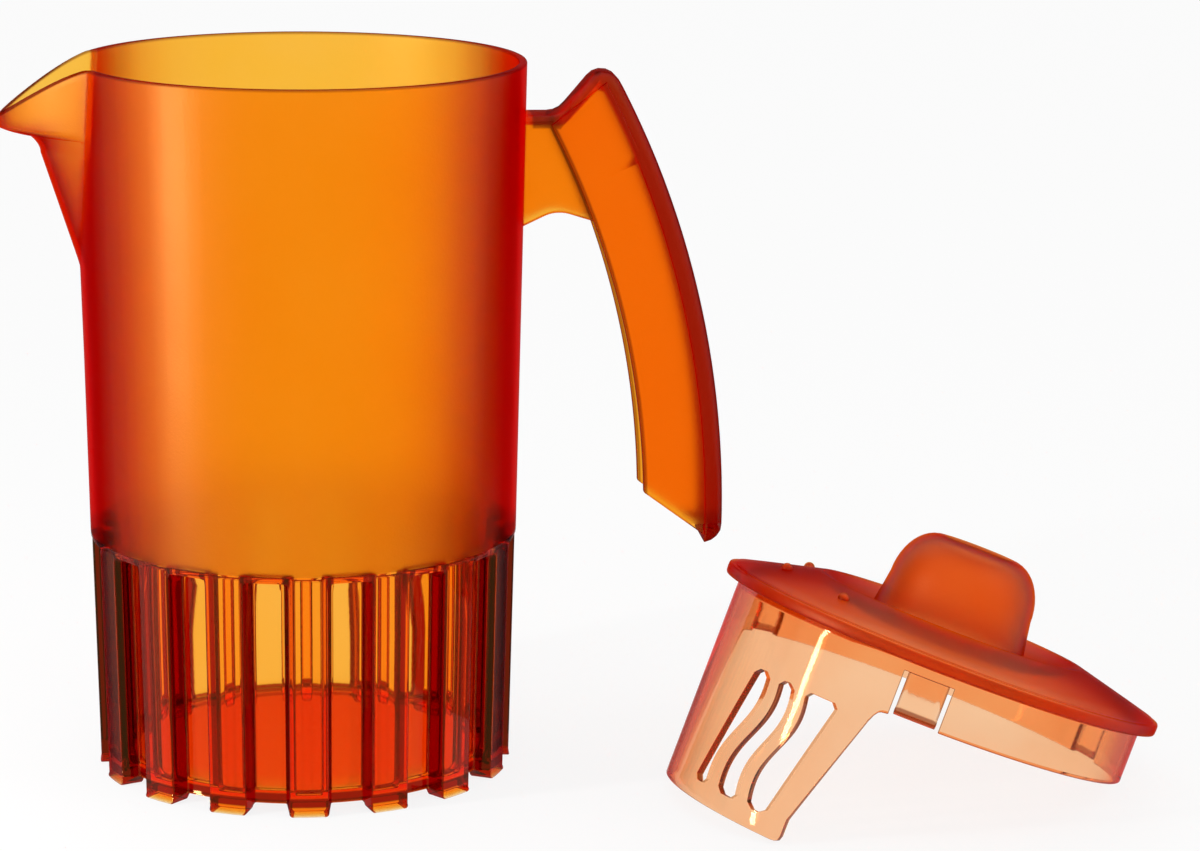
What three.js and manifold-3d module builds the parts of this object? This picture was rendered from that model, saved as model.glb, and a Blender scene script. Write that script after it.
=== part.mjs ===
// Plastic serving pitcher with a lift-off lid, in millimetres, +Z up.
// The spout points along -X and the handle along +X. The lid lies beside the jug.
// The jug is one moulding and the lid another. Each of their working regions is a node here.
import * as THREE from 'three';
import { mergeVertices } from 'three/addons/utils/BufferGeometryUtils.js';
import Module from 'manifold-3d';

const wasm = await Module();
wasm.setup();

// Driving sizes of the jug
const jug_height = 184.3;
const rim_radius = 57.5;
const seam_radius = 55.2;
const foot_radius = 53.8;
const base_height = 61.6;
const barrel_wall = 2.1;
const rim_round = 0.5;

// Fluted base and floor
const rib_count = 16;
const rib_width = 10.8;
const rib_depth = 4.6;
const rib_wall = 3;
const rib_side_wall = 2;
const rib_phase = THREE.MathUtils.degToRad(21.2);
const base_wall = 1.6;
const foot_height = 2.3;
const floor_thickness = 2.4;

// Pouring spout, with heights given as drops from the rim and lengths as the reach past it
const spout_depth = 52.8;
const spout_half_width = 21.5;
const spout_length = 18.9;
const spout_lip_drop = 13.6;
const spout_wall = 1.7;
const beak_drop = 18.4;
const beak_depth = 1.6;
const keel_length = 11.8;
const keel_knee_drop = 23.3;
const keel_knee_length = 8.5;
const brow_length = 22.5;
const spout_flank_share = 0.6;
const spout_lip_share = 1.28;
const spout_level_shares = [0.02, 0.06, 0.14, 0.26, 0.4, 0.56, 0.61, 0.65, 0.665, 0.68, 0.7, 0.85, 1];

// Handle, with its heights given as drops from the rim or from the neck's top
const grip_mid_drop = 118.8;
const grip_radius = 243.6;
const grip_depth = 20.9;
const grip_width = 18;
const grip_wall = 3.2;
const grip_cheek_width = 16.8;
const spine_thickness = 5;
const peak_rise = 14.7;
const peak_standoff = 20.4;
const peak_round = 4.7;
const peak_slope = THREE.MathUtils.degToRad(50);
const neck_drop = 14;
const neck_roof = 2.6;
const neck_width = 13.5;
const neck_wall = 2.5;
const neck_arch_depth = 24.6;
const neck_root_depth = 28.9;
const neck_grip_depth = 27.6;
const neck_arch_share = 0.42;
const heel_drop = 112.9;
const toe_drop = 126.3;
const toe_round = 4;

// Lid cover and knob
const rim_clearance = 0.5;
const cover_overhang = 1.3;
const cover_rim_height = 3;
const cover_wall = 2.2;
const cover_step = 1.4;
const cover_step_rise = 0.4;
const ridge_radius = 35.5;
const ridge_height = 9;
const ridge_round = 1.2;
const dish_radius = 24;
const dish_height = 5.4;
const knob_radius = 20.6;
const knob_waist_radius = 19.2;
const knob_waist_height = 10;
const knob_top_radius = 9.8;
const knob_height = 28.7;
const knob_wall = 2;
const pip_count = 3;
const pip_radius = 1.5;
const pip_ring_radius = 45;
const pip_first = THREE.MathUtils.degToRad(-60);
const pip_step = THREE.MathUtils.degToRad(40.5);

// Skirt, strainer and snap catches under the lid
const skirt_wall = 2;
const skirt_depth = 14.4;
const strainer_depth = 54.4;
const strainer_top_angle = THREE.MathUtils.degToRad(48);
const strainer_foot_angle = THREE.MathUtils.degToRad(36);
const strainer_heel = 6;
const catch_count = 3;
const catch_first = THREE.MathUtils.degToRad(58);
const catch_width = 10.8;
const catch_slit = 1.3;
const catch_root_depth = 2.8;
const catch_short = 0.5;
const catch_nose = 0.9;
const catch_nose_height = 2.4;
const slot_top_depth = 17;
const slot_foot_depth = 49.6;
const slot_top_angles = [9.5, 14.2, 19, 23.4, 28, 38].map(THREE.MathUtils.degToRad);
const slot_foot_angles = [0.5, 6.2, 12, 19, 23.5, 29].map(THREE.MathUtils.degToRad);
const slot_wave = 1.9;
const slot_round = 1.6;

// Where the lid lies
const lid_side = 162;
const lid_front = 36;
const lid_downhill = THREE.MathUtils.degToRad(17);

// Shared clearances and fineness
const seam_gap = 0.3;
const overrun = 5;
const round_sides = 60;
const curve_steps = 10;
const fillet_steps = 5;
const dome_steps = 7;

// Places that follow from the sizes above
const ledge_radius = seam_radius - rib_depth - base_wall;
const spout_reach = rim_radius + spout_length;
const brow_reach = rim_radius + brow_length;
const keel_reach = rim_radius + keel_length;
const keel_knee_reach = rim_radius + keel_knee_length;
const spout_foot_height = jug_height - spout_depth;
const keel_foot_reach = barrelRadius(spout_foot_height);
const beak_height = jug_height - beak_drop;
const keel_knee_height = jug_height - keel_knee_drop;
const neck_top_height = jug_height - neck_drop;
const peak_height = neck_top_height + peak_rise;
const neck_under_height = neck_top_height - neck_arch_depth;
const neck_under_root = neck_top_height - neck_root_depth;
const neck_under_grip = neck_top_height - neck_grip_depth;
const grip_mid_height = jug_height - grip_mid_drop;
const heel_height = jug_height - heel_drop;
const toe_height = jug_height - toe_drop;
const grip_centre_x = rim_radius + peak_standoff
  - Math.sqrt(grip_radius ** 2 - (peak_height - grip_mid_height) ** 2);
const grip_reach = grip_centre_x + grip_radius;
const skirt_radius = rim_radius - barrel_wall - rim_clearance;
const cover_radius = rim_radius + cover_overhang;
const spine_inner = grip_radius - spine_thickness;
const grip_inner = grip_radius - grip_depth;
const slot_count = slot_top_angles.length / 2;

// Shape helpers

// Turns a closed geometry into a solid that can be joined and cut
function solid(geometry) {
  const bare = geometry.clone();
  bare.deleteAttribute('normal');
  bare.deleteAttribute('uv');
  const merged = mergeVertices(bare);
  return new wasm.Manifold(new wasm.Mesh({
    numProp: 3,
    vertProperties: new Float32Array(merged.attributes.position.array),
    triVerts: new Uint32Array(merged.index.array),
  }));
}

// Turns a solid back into a geometry
function geometryOf(manifold) {
  const mesh = manifold.getMesh();
  const geometry = new THREE.BufferGeometry();
  geometry.setAttribute('position', new THREE.BufferAttribute(mesh.vertProperties, 3));
  geometry.setIndex(new THREE.BufferAttribute(mesh.triVerts, 1));
  geometry.computeVertexNormals();
  return geometry;
}

// Turns a radius and height profile, listed from the foot outwards and up, about Z
function turned(profile) {
  const points = profile.map(([r, z]) => new THREE.Vector2(r, z));
  const geometry = new THREE.LatheGeometry([...points, points[0]], round_sides);
  return solid(geometry.rotateX(Math.PI / 2));
}

// Raises a side view outline, given as x and z, to a width centred on a place along Y
function sidePlate(outline, width, middle = 0) {
  const shape = new THREE.Shape(outline.map(([x, z]) => new THREE.Vector2(x, z)));
  const geometry = new THREE.ExtrudeGeometry(shape, { depth: width, bevelEnabled: false });
  return solid(geometry.rotateX(Math.PI / 2).translate(0, middle + width / 2, 0));
}

// Raises an outline in y and z to a bar along +X
function frontBar(outline, start, length) {
  const shape = new THREE.Shape(outline.map(([y, z]) => new THREE.Vector2(y, z)));
  const geometry = new THREE.ExtrudeGeometry(shape, { depth: length, bevelEnabled: false });
  geometry.rotateX(Math.PI / 2).rotateZ(Math.PI / 2);
  return solid(geometry.translate(start, 0, 0));
}

// Rounds the corners of an outline; a corner is [a, b, radius], and no radius keeps it sharp
function rounded(corners) {
  const count = corners.length;
  return corners.flatMap(([a, b, radius], i) => {
    if (!radius) return [[a, b]];
    const here = new THREE.Vector2(a, b);
    const toward = (k) => {
      const other = corners[(i + k + count) % count];
      return new THREE.Vector2(other[0], other[1]).sub(here).normalize();
    };
    const back = toward(-1);
    const ahead = toward(1);
    const half = Math.acos(THREE.MathUtils.clamp(back.dot(ahead), -1, 1)) / 2;
    const centre = here.clone().addScaledVector(back.clone().add(ahead).normalize(), radius / Math.sin(half));
    const from = here.clone().addScaledVector(back, radius / Math.tan(half)).sub(centre);
    const turn = Math.sign(back.cross(ahead)) * (Math.PI - 2 * half);
    return Array.from({ length: fillet_steps + 1 }, (_, k) => {
      const p = from.clone().rotateAround(new THREE.Vector2(), -turn * k / fillet_steps).add(centre);
      return [p.x, p.y];
    });
  });
}

// Points of the grip's bend at one radius, from one height to another
function bend(radius, from, to) {
  const angle = (height) => Math.asin((height - grip_mid_height) / radius);
  return Array.from({ length: curve_steps + 1 }, (_, i) => {
    const a = THREE.MathUtils.lerp(angle(from), angle(to), i / curve_steps);
    return [grip_centre_x + radius * Math.cos(a), grip_mid_height + radius * Math.sin(a)];
  });
}

// Where a bend of the grip lies at one height
function bendReach(radius, height) {
  return grip_centre_x + Math.sqrt(radius ** 2 - (height - grip_mid_height) ** 2);
}

// Stacks closed level sections of equal point count into a solid, foot first
function stacked(sections) {
  const count = sections[0].length;
  const positions = sections.flat(2);
  const faces = [];
  sections.slice(1).forEach((_, k) => {
    for (let i = 0; i < count; i += 1) {
      const a = k * count + i;
      const b = k * count + ((i + 1) % count);
      faces.push(a, b, b + count, a, b + count, a + count);
    }
  });
  const last = (sections.length - 1) * count;
  for (let i = 1; i < count - 1; i += 1) {
    faces.push(0, i + 1, i, last, last + i, last + i + 1);
  }
  const geometry = new THREE.BufferGeometry();
  geometry.setAttribute('position', new THREE.Float32BufferAttribute(positions, 3));
  geometry.setIndex(faces);
  return solid(geometry);
}

// The barrel's outer radius at a height above the base seam
function barrelRadius(height) {
  return THREE.MathUtils.mapLinear(height, base_height, jug_height, seam_radius, rim_radius);
}

// The base's outer radius at a height below the seam
function ribRadius(height) {
  return THREE.MathUtils.mapLinear(height, 0, base_height, foot_radius, seam_radius);
}

// Jug

// Half the spout's width where it leaves the barrel, growing as a parabola above its foot
function creaseHalfWidth(height) {
  const rise = (height - spout_foot_height) / (jug_height - spout_foot_height);
  return spout_half_width * Math.sqrt(Math.max(rise, 0));
}

// How far the spout's nose stands from the axis at a height: keel, beak and brow
function noseReach(height) {
  const { lerp, inverseLerp, clamp } = THREE.MathUtils;
  const along = (a, b) => clamp(inverseLerp(a, b, height), 0, 1);
  if (height < keel_knee_height) {
    return lerp(keel_foot_reach, keel_knee_reach, along(spout_foot_height, keel_knee_height));
  }
  if (height < beak_height) {
    return lerp(keel_knee_reach, keel_reach, along(keel_knee_height, beak_height) ** 2);
  }
  const flare = Math.sqrt(along(beak_height, beak_height + beak_depth));
  return lerp(keel_reach, spout_reach, flare)
    + (brow_reach - spout_reach) * along(beak_height + beak_depth, jug_height);
}

// One level section of the spout: a rounded V closed by a straight back
function spoutSection(height, half, nose, back) {
  const points = Array.from({ length: 2 * curve_steps + 1 }, (_, i) => {
    const t = 1 - i / curve_steps;
    const flank = Math.abs(t) ** (1 / spout_flank_share);
    const crease = Math.sqrt(barrelRadius(height) ** 2 - half ** 2);
    return [-THREE.MathUtils.lerp(nose, crease, flank), half * t, height];
  });
  return [...points, [-back, -half, height], [-back, half, height]];
}

// The region above the spout's lip, which falls from the rim to the tip
function aboveLip() {
  const start = Math.sqrt(rim_radius ** 2 - spout_half_width ** 2);
  const lip = Array.from({ length: curve_steps + 1 }, (_, i) => {
    const share = i / curve_steps * (brow_reach - start) / (spout_reach - start);
    const reach = start + share * (spout_reach - start);
    return [-reach, jug_height - spout_lip_drop * share ** spout_lip_share];
  });
  const top = jug_height + overrun;
  return sidePlate([[0, top], [0, jug_height], ...lip, [-brow_reach - overrun, top]],
    2 * spout_half_width + overrun);
}

function spout() {
  const level = (share) => THREE.MathUtils.lerp(spout_foot_height, jug_height, share);
  const outer = stacked(spout_level_shares.map((share) => {
    const z = level(share);
    const half = creaseHalfWidth(z) - seam_gap;
    return spoutSection(z, half, noseReach(z), barrelRadius(z) * Math.cos(half / barrelRadius(z)) - barrel_wall);
  }));
  const inner = stacked(spout_level_shares.slice(2).map((share) => {
    const z = level(share) + spout_wall * share;
    const half = creaseHalfWidth(level(share)) - seam_gap - spout_wall;
    return spoutSection(z, half, noseReach(level(share)) - spout_wall, 0);
  }));
  return outer.subtract(inner).subtract(aboveLip());
}

function barrel() {
  const shell = turned([
    [ledge_radius, base_height], [seam_radius, base_height],
    [rim_radius, jug_height - rim_round], [rim_radius - rim_round, jug_height],
    [rim_radius - barrel_wall + rim_round, jug_height], [rim_radius - barrel_wall, jug_height - rim_round],
    [seam_radius - barrel_wall, base_height + base_wall], [ledge_radius, base_height + base_wall],
  ]).subtract(ribHollows());
  const crease = spout_level_shares.map((share) => {
    const z = THREE.MathUtils.lerp(spout_foot_height, jug_height + seam_gap, share);
    return [creaseHalfWidth(z), z];
  });
  const mirrored = crease.map(([y, z]) => [-y, z]).reverse();
  const opening = frontBar([[0, spout_foot_height], ...crease, ...mirrored], -rim_radius - overrun, rim_radius);
  return shell.subtract(opening);
}

// One upright bar through every rib, of one width
function ribBars(width) {
  const reach = seam_radius + overrun;
  const bars = Array.from({ length: rib_count }, (_, i) => {
    const bar = new THREE.BoxGeometry(reach / 2, width, base_height + 4 * overrun);
    bar.translate(reach * 3 / 4, 0, base_height / 2);
    return solid(bar.rotateZ(rib_phase + i * 2 * Math.PI / rib_count));
  });
  return bars.reduce((whole, bar) => whole.add(bar));
}

// The hollows behind the ribs, which run up from the floor and are open at the ledge
function ribHollows() {
  const floor_top = foot_height + floor_thickness;
  const top = base_height + base_wall + seam_gap;
  const reach = turned([[0, floor_top], [ribRadius(floor_top) - rib_wall, floor_top],
    [seam_radius - rib_wall, base_height], [seam_radius - rib_wall, top], [0, top]]);
  return reach.intersect(ribBars(rib_width - 2 * rib_side_wall));
}

function flutedBase() {
  const inner = (height) => ribRadius(height) - rib_depth - base_wall;
  const ring = turned([
    [inner(0), 0], [foot_radius, 0], [seam_radius, base_height], [ledge_radius, base_height],
  ]);
  const wall = turned([
    [inner(foot_height), foot_height], [ribRadius(foot_height) - rib_depth, foot_height],
    [seam_radius - rib_depth, base_height], [ledge_radius, base_height],
  ]);
  return wall.add(ring.intersect(ribBars(rib_width))).subtract(ribHollows());
}

function jugFloor() {
  const radius = ribRadius(foot_height) - rib_depth - base_wall - seam_gap;
  return turned([[0, foot_height], [radius, foot_height],
    [radius, foot_height + floor_thickness], [0, foot_height + floor_thickness]]);
}

// Where the grip's rising top meets its outer bend, before that corner is rounded
function peakReach() {
  return bendReach(grip_radius, peak_height);
}

// The foot of the slope that climbs from the neck to the peak
function slopeFoot() {
  return peakReach() - (peak_height - neck_top_height) / Math.tan(peak_slope);
}

// How far the slope's underside stands behind its top, measured level
function slopeInset() {
  return neck_roof / Math.sin(peak_slope);
}

// The underside of the neck's roof and the slope, left to right, at a clearance below
function flangeUnderside(gap) {
  const under = neck_top_height - neck_roof - gap;
  const inset = slopeInset() + gap / Math.sin(peak_slope);
  const foot = slopeFoot() + inset - (neck_top_height - under) / Math.tan(peak_slope);
  const radius = spine_inner - gap;
  let height = peak_height - spine_thickness;
  for (let i = 0; i < curve_steps; i += 1) {
    height = under + (bendReach(radius, height) - foot) * Math.tan(peak_slope);
    height = Math.min(height, peak_height);
  }
  return [[foot, under], height];
}

function gripSpine() {
  const [[foot, under], crown] = flangeUnderside(0);
  const outline = rounded([
    [slopeFoot() + seam_gap, neck_top_height], [slopeFoot() + seam_gap, under], [foot, under],
    ...bend(spine_inner, crown, toe_height),
    [bendReach(grip_radius, toe_height), toe_height, toe_round],
    ...bend(grip_radius, toe_height + 2 * toe_round, peak_height - 2 * peak_round),
    [peakReach(), peak_height, peak_round],
  ]);
  return sidePlate(outline, grip_width);
}

function gripCheek(side) {
  const [[foot, under], crown] = flangeUnderside(seam_gap);
  const outer = spine_inner - seam_gap;
  const outline = [
    ...bend(grip_inner, heel_height, under), [foot, under], ...bend(outer, crown, toe_height),
  ];
  return sidePlate(outline, grip_wall, side * (grip_cheek_width - grip_wall) / 2);
}

// The neck is a channel: a roof on two side walls, open below
function handleNeck() {
  const roof_under = neck_top_height - neck_roof;
  const root = barrelRadius(neck_under_root) - barrel_wall;
  const grip_edge = grip_inner - seam_gap;
  const inner_edge = bendReach(grip_edge, neck_under_grip);
  const block = sidePlate([
    [root, neck_under_root], [barrelRadius(neck_under_root), neck_under_root],
    [rim_radius + (inner_edge - rim_radius) * neck_arch_share, neck_under_height],
    ...bend(grip_edge, neck_under_grip, roof_under + neck_roof / 2), [root, roof_under + neck_roof / 2],
  ], neck_width);
  const channel = sidePlate([
    [root, neck_under_root - overrun], [grip_reach, neck_under_root - overrun],
    [grip_reach, roof_under], [root, roof_under],
  ], neck_width - 2 * neck_wall);
  const roof = sidePlate([
    [root, roof_under], [slopeFoot(), roof_under], [slopeFoot(), neck_top_height], [root, neck_top_height],
  ], neck_width);
  const clear = turned([
    [0, base_height], [seam_radius + seam_gap, base_height],
    [rim_radius + seam_gap, jug_height], [0, jug_height],
  ]);
  return block.subtract(channel).add(roof).subtract(clear);
}

// Lid, drawn level about its own axis with Z = 0 at the cover's rim underside

function lidCover() {
  const cone = (r) => THREE.MathUtils.mapLinear(
    r, cover_radius - cover_step, ridge_radius, cover_rim_height + cover_step_rise, ridge_height);
  const eave = skirt_radius - skirt_wall;
  const hole = knob_radius - knob_wall;
  const plate = turned([
    [hole, dish_height - cover_wall], [dish_radius, dish_height - cover_wall],
    [ridge_radius - ridge_round, ridge_height - cover_wall], [ridge_radius, ridge_height - cover_wall],
    [eave - cover_wall, cone(eave - cover_wall) - cover_wall], [eave, 0],
    [cover_radius - rim_round, 0], [cover_radius, rim_round],
    [cover_radius, cover_rim_height - rim_round], [cover_radius - rim_round, cover_rim_height],
    [cover_radius - cover_step, cover_rim_height],
    [cover_radius - cover_step, cover_rim_height + cover_step_rise],
    [ridge_radius + ridge_round, cone(ridge_radius + ridge_round)], [ridge_radius, ridge_height],
    [ridge_radius - 2 * ridge_round, ridge_height - ridge_round / 2],
    [dish_radius, dish_height], [hole, dish_height],
  ]);
  const pips = Array.from({ length: pip_count }, (_, i) => {
    const pip = new THREE.SphereGeometry(pip_radius, 2 * fillet_steps, fillet_steps);
    pip.rotateX(Math.PI / 2).translate(pip_ring_radius, 0, cone(pip_ring_radius));
    return solid(pip.rotateZ(pip_first + i * pip_step));
  });
  return pips.reduce((whole, pip) => whole.add(pip), plate);
}

// The knob's side from its foot to its flat top, set in by a wall
function knobLine(inset) {
  const waist = knob_waist_height + dish_height;
  const dome = Array.from({ length: dome_steps + 1 }, (_, i) => {
    const a = i / dome_steps * Math.PI / 2;
    const across = knob_waist_radius - knob_top_radius;
    return [knob_top_radius + across * Math.cos(a) - inset * Math.cos(a),
      waist + (knob_height - waist) * Math.sin(a) - inset * Math.sin(a)];
  });
  return [[knob_radius - inset, dish_height + seam_gap], ...dome];
}

function lidKnob() {
  const outside = knobLine(0);
  const inside = knobLine(knob_wall).reverse();
  return turned([...outside, [0, knob_height], [0, knob_height - knob_wall], ...inside]);
}

// A ring of the skirt's wall between two depths below the cover
function skirtRing(top, foot) {
  return turned([
    [skirt_radius - skirt_wall, -foot], [skirt_radius, -foot],
    [skirt_radius, -top], [skirt_radius - skirt_wall, -top],
  ]);
}

// A box that reaches outwards through the skirt at an angle, between two depths
function skirtBox(angle, width, top, foot) {
  const box = new THREE.BoxGeometry(4 * skirt_wall, width, foot - top);
  box.translate(skirt_radius - skirt_wall / 2, 0, -(foot + top) / 2);
  return solid(box.rotateZ(angle));
}

function catchAngle(index) {
  return catch_first + index * 2 * Math.PI / catch_count;
}

function lidSkirt() {
  const half = skirt_radius * Math.sin(strainer_top_angle) + seam_gap;
  const panel = frontBar([
    [-half, 0], [-half, -skirt_depth - overrun], [half, -skirt_depth - overrun], [half, 0],
  ], 0, skirt_radius + overrun);
  const windows = Array.from({ length: catch_count }, (_, i) => skirtBox(
    catchAngle(i), catch_width + 2 * catch_slit, catch_root_depth, skirt_depth + overrun));
  const ring = skirtRing(seam_gap, skirt_depth).subtract(panel);
  return windows.reduce((whole, window) => whole.subtract(window), ring);
}

// One slot of the strainer: a rounded outline whose sides wave, but for the outermost two
function strainerSlot(index) {
  const middle = (slot_top_angles[2 * index] + slot_foot_angles[2 * index + 1]) / 2;
  const edge = (side) => Array.from({ length: curve_steps + 1 }, (_, i) => {
    const share = i / curve_steps;
    const place = 2 * index + side;
    const straight = place === 0 || place === 2 * slot_count - 1;
    const angle = THREE.MathUtils.lerp(slot_top_angles[place], slot_foot_angles[place], share);
    const wave = straight ? 0 : slot_wave * Math.sin(2 * Math.PI * share);
    return [skirt_radius * Math.sin(angle - middle) + wave,
      -THREE.MathUtils.lerp(slot_top_depth, slot_foot_depth, share)];
  });
  const corners = [...edge(0), ...edge(1).reverse()];
  const last = corners.length - 1;
  const radii = new Map([[0, slot_round], [curve_steps, slot_round],
    [curve_steps + 1, slot_round], [last, slot_round]]);
  const outline = rounded(corners.map(([y, z], i) => [y, z, radii.get(i)]));
  const bar = frontBar(outline, skirt_radius - 2 * skirt_wall, 4 * skirt_wall);
  return bar.rotate([0, 0, THREE.MathUtils.radToDeg(middle)]);
}

function strainer() {
  const top = skirt_radius * Math.sin(strainer_top_angle);
  const foot = skirt_radius * Math.sin(strainer_foot_angle);
  const side = [[top, 0], [top, -skirt_depth], [foot, strainer_heel - strainer_depth, strainer_heel / 2],
    [foot, -strainer_depth, slot_round / 2]];
  const mirrored = side.map(([y, z, r]) => [-y, z, r]).reverse();
  const outline = rounded([...side, ...mirrored]);
  const panel = skirtRing(seam_gap, strainer_depth).intersect(frontBar(outline, 0, skirt_radius + overrun));
  const slots = Array.from({ length: slot_count }, (_, i) => strainerSlot(i));
  return slots.reduce((whole, slot) => whole.subtract(slot), panel);
}

function snapCatch(index) {
  const foot = skirt_depth - catch_short;
  const tongue = skirtRing(catch_root_depth + seam_gap, foot)
    .intersect(skirtBox(catchAngle(index), catch_width, 0, foot + overrun));
  const nose = turned([
    [skirt_radius - skirt_wall / 2, -foot], [skirt_radius, -foot],
    [skirt_radius + catch_nose, -foot + catch_nose_height / 3],
    [skirt_radius + catch_nose, -foot + 2 * catch_nose_height / 3],
    [skirt_radius, -foot + catch_nose_height], [skirt_radius - skirt_wall / 2, -foot + catch_nose_height],
  ]);
  return tongue.add(nose.intersect(skirtBox(catchAngle(index), catch_width, 0, foot + overrun)));
}

// Materials
const frosted = new THREE.MeshStandardMaterial({ color: 0xff7d00, roughness: 0.5, metalness: 0 });
const clear = new THREE.MeshStandardMaterial({ color: 0xff6a00, roughness: 0.08, metalness: 0 });
const smoky = new THREE.MeshStandardMaterial({ color: 0xb93c00, roughness: 0.45, metalness: 0 });

function piece(name, shape, material) {
  const mesh = new THREE.Mesh(geometryOf(shape), material);
  mesh.name = name;
  return mesh;
}

// Assembly
const jug = new THREE.Group();
jug.add(
  piece('barrel', barrel(), frosted),
  piece('pouring_spout', spout(), frosted),
  piece('fluted_base', flutedBase(), clear),
  piece('jug_floor', jugFloor(), clear),
  piece('handle_neck', handleNeck(), frosted),
  piece('grip_spine', gripSpine(), frosted),
  piece('grip_cheek_front', gripCheek(-1), frosted),
  piece('grip_cheek_back', gripCheek(1), frosted),
);

// The lid leans on its strainer's two corners and the far edge of its skirt
const lid_tilt = Math.atan(
  (strainer_depth - skirt_depth) / (skirt_radius * (1 + Math.cos(strainer_foot_angle))));
const lid = new THREE.Group();
lid.add(
  piece('lid_cover', lidCover(), smoky),
  piece('lid_knob', lidKnob(), smoky),
  piece('lid_skirt', lidSkirt(), clear),
  piece('strainer', strainer(), clear),
);
for (let i = 0; i < catch_count; i += 1) {
  lid.add(piece(`snap_catch_${i + 1}`, snapCatch(i), clear));
}
lid.rotation.set(0, -lid_tilt, lid_downhill + Math.PI, 'ZYX');
lid.position.set(lid_side, -lid_front, 0);
const lid_low = new THREE.Box3().setFromObject(lid, true).min.z;
lid.position.z = -lid_low;

// The origin is the middle of the whole set's footprint
const pitcher = new THREE.Group();
pitcher.add(jug, lid);
const footprint = new THREE.Box3().setFromObject(pitcher, true).getCenter(new THREE.Vector3());
pitcher.position.set(-footprint.x, -footprint.y, 0);

export default pitcher;
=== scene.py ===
"""Looks of a plastic pitcher: the jug and its lid as two see-through mouldings, with three snap catches.

Shapes are worked out in millimetres about the jug's own axis or the lid's own axis, then set down
in the frame in metres. Angles run from the handle's side, so the spout lies at half a turn.
"""
import math

import bpy
import numpy as np
from mathutils import Matrix, Vector


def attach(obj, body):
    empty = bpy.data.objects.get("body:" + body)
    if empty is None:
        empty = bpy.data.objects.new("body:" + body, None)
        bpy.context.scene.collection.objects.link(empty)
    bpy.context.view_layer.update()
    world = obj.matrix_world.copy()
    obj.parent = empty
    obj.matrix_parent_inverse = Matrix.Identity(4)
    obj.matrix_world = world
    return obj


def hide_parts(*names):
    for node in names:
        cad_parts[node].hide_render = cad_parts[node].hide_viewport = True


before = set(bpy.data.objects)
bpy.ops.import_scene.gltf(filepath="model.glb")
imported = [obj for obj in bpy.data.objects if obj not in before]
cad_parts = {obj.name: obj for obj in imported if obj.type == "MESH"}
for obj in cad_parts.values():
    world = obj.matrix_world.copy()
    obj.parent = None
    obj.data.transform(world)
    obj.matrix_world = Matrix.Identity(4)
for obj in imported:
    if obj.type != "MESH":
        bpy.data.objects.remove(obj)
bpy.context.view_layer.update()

MM = 0.001
SHARP_ANGLE = math.radians(46)

# The photograph's view, solved from the jug's outlines
PHOTO_WIDTH = 1200
FOCAL_PIXELS = 3926.2
FILM_WIDTH = 36.0
VIEWPOINT = (-0.10864, -0.97663, 0.31483)
VIEW_YAW = 0.1157
VIEW_PITCH = 0.2230
VIEW_ROLL = 0.0103

# Jug, whose floor reaches from the axis to its edge
JUG_HEIGHT = 184.3
RIM_RADIUS = 57.5
SEAM_RADIUS = 55.2
FOOT_RADIUS = 53.8
SEAM_HEIGHT = 61.6
BARREL_WALL = 2.1
EDGE_ROUND = 0.5
FROST_HEIGHT = 62.7
LEDGE_WIDTH = 4.1
FLOOR_HEIGHT = 4.7
FLOOR_EDGE = 46.0

# Ribs of the base, with their sides' turns in degrees from a rib's middle
RIB_COUNT = 16
RIB_PHASE = 21.2
RIB_DEPTH = 4.6
RIB_SETBACK = 0.3
RIB_ANGLE = 5.5
RECESS_ANGLE = 6.4
RECESS_ROUND = 1.6
BASE_WALL = 1.6
HOLLOW_DEPTH = 3.2
FOOT_HEIGHT = 2.3
FOOT_ROUND = 1.1

# Spout, with the heights where its nose line turns and how far it stands out there
SPOUT_ROWS_FOOT = 130.5
SPOUT_FOOT = 131.5
KEEL_TOP = 161.0
BEAK_TOP = 165.9
FLARE_TOP = 167.5
KEEL_FOOT_REACH = 56.5
KEEL_TOP_REACH = 66.0
BEAK_TOP_REACH = 69.3
SPOUT_REACH = 76.4
BROW_LEAN = 3.6
SPOUT_HALF_WIDTH = 21.5
SPOUT_WALL = 1.7
LIP_START = math.sqrt(RIM_RADIUS ** 2 - SPOUT_HALF_WIDTH ** 2)
LIP_DROP = 13.6
LIP_SHARE = 1.28
FLANK_SHARE = 0.6

# Handle
GRIP_CENTRE = np.array([-134.375, 65.5])
GRIP_RADIUS = 243.6
GRIP_DEPTH = 20.9
SPINE_THICKNESS = 5.0
SPINE_WIDTH = 18.0
CHEEK_WIDTH = 16.8
CHEEK_WALL = 3.2
PEAK_HEIGHT = 185.0
PEAK_SLOPE = math.radians(50)
PEAK_ROUND = 4.7
CROWN_HEIGHT = 177.9
ROOT_RADIUS = 55.9
ROOF_ROUND = 5.0
NECK_TOP = 170.3
NECK_ROOF = 2.6
NECK_WIDTH = 13.5
NECK_WALL = 2.5
NECK_FOOT = 141.4
NECK_HEEL = 142.7
ARCH_TOP = 145.9
ARCH_ROUND = 9.0
ARCH_SHARE = 0.42
HEEL_HEIGHT = 71.4
TOE_HEIGHT = 58.0
TOE_WIDTH = 4.6
TOE_ROUND = 3.6
CORNER_STEPS = 7

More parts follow.
